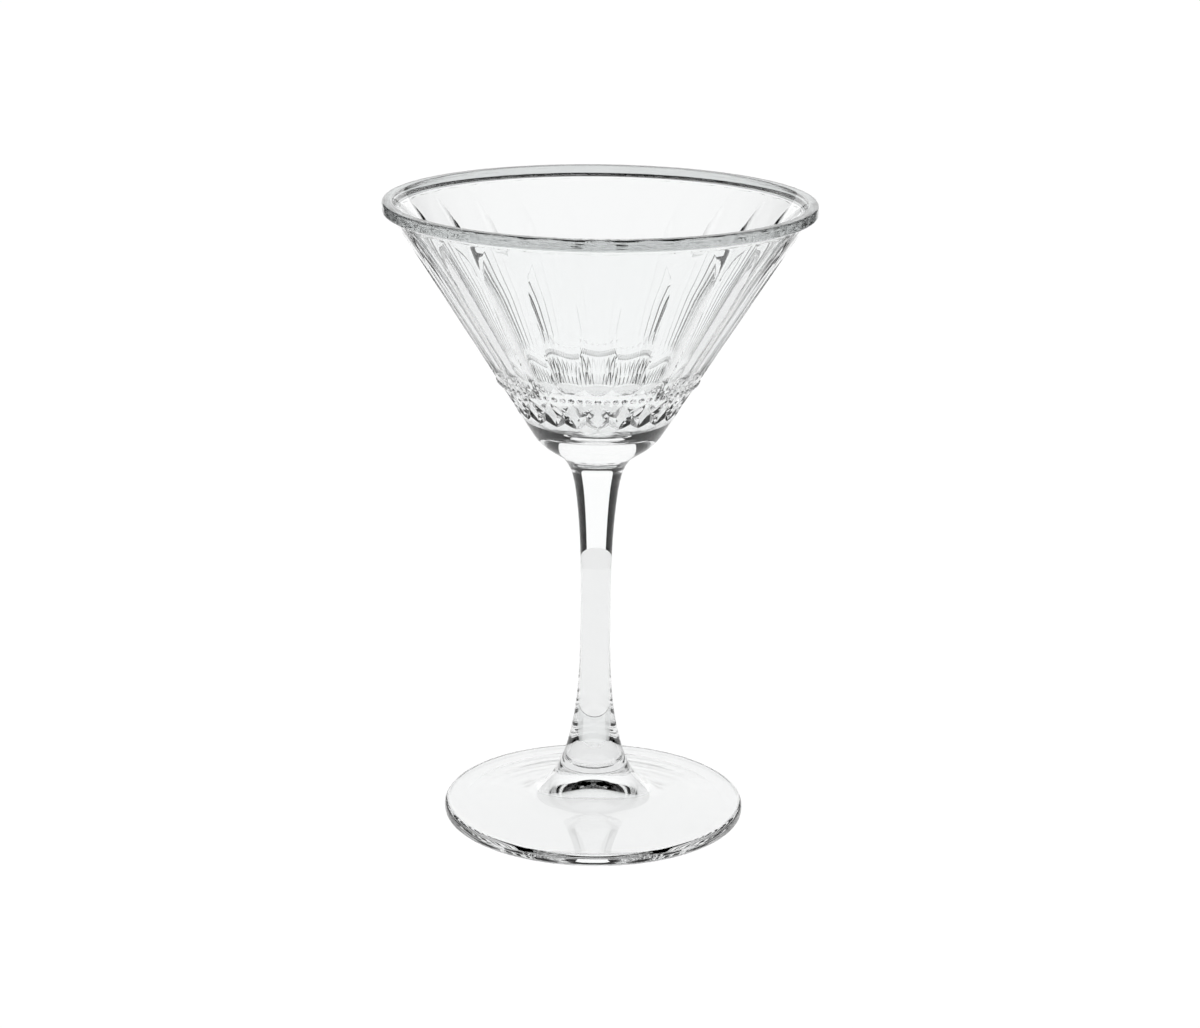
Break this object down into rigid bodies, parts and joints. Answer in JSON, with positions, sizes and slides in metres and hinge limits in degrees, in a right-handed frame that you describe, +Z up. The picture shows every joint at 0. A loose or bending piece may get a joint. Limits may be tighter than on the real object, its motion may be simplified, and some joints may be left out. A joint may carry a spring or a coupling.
{
  "type": "martini glass",
  "caption": "Clear crystal martini glass: fluted conical bowl with a beaded, cross-cut band, a drawn stem and a round foot, fused together.",
  "frame": {"origin": "centre of the foot's resting face, on the table", "axes": "+Z up along the glass's axis; +X and +Y level"},
  "size_m": [0.108, 0.108, 0.162],
  "materials": {
    "bowl_glass": "clear pressed crystal, fire polished",
    "stem_glass": "clear drawn crystal, fire polished",
    "foot_glass": "clear pressed crystal, fire polished"
  },
  "bodies": {
    "root": {"bowl": "bowl_glass", "stem": "stem_glass", "foot": "foot_glass"}
  },
  "joints": []
}
